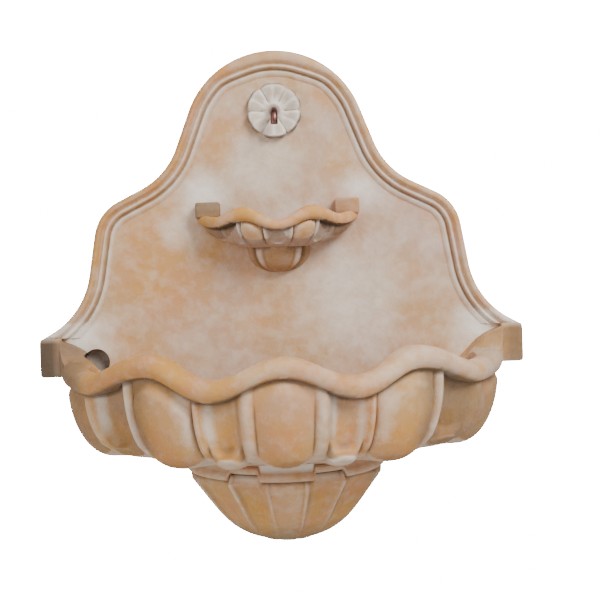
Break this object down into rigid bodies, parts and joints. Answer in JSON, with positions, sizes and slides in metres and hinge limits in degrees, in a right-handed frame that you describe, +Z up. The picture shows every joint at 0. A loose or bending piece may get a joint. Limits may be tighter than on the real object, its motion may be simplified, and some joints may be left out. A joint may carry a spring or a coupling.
{
  "type": "garden wall fountain",
  "caption": "Wall-hung cast stone fountain: moulded back panel, spout in a rosette, small shell cup, lobed half-round basin on a fluted corbel, with a pump inside.",
  "frame": {"origin": "on the wall plane, midway between the two keyhole hangers at the back of the panel", "axes": "+Y into the wall, +Z up, +X to the right seen from the front; the front faces -Y"},
  "size_m": [0.637, 0.279, 0.6476],
  "materials": {
    "cast_stone": "matt, stained and whitewashed",
    "copper": "dull copper",
    "zinc_steel": "zinc plated",
    "brass": "turned",
    "rubber": "matt",
    "pump_plastic": "moulded",
    "rotor_plastic": "moulded",
    "ceramic": "ground",
    "vinyl": "clear",
    "stainless_steel": "bright"
  },
  "bodies": {
    "fountain": {"back_panel": "cast_stone", "rosette": "cast_stone", "upper_cup": "cast_stone", "basin": "cast_stone", "corbel": "cast_stone", "copper_tube": "copper", "tube_straps": "copper", "hanger_plates": "zinc_steel", "panel_screws": "zinc_steel", "casting_bolts": "zinc_steel", "casting_inserts": "brass", "cord_bush": "rubber", "pump_body": "pump_plastic", "intake_cover": "pump_plastic", "impeller_shaft": "ceramic", "suction_feet": "rubber", "cord_gland": "rubber", "outlet_hose": "vinyl", "hose_clamp": "stainless_steel"},
    "impeller": {"impeller": "rotor_plastic"},
    "dial": {"flow_dial": "pump_plastic"}
  },
  "joints": [
    {"name": "impeller_spin", "type": "hinge", "parent": "fountain", "child": "impeller", "pos_m": [0, -0.087, -0.244], "axis": [1, 0, 0], "continuous": true},
    {"name": "flow_dial_turn", "type": "hinge", "parent": "fountain", "child": "dial", "pos_m": [0.018, -0.087, -0.244], "axis": [1, 0, 0], "range_deg": [0, 90]}
  ]
}
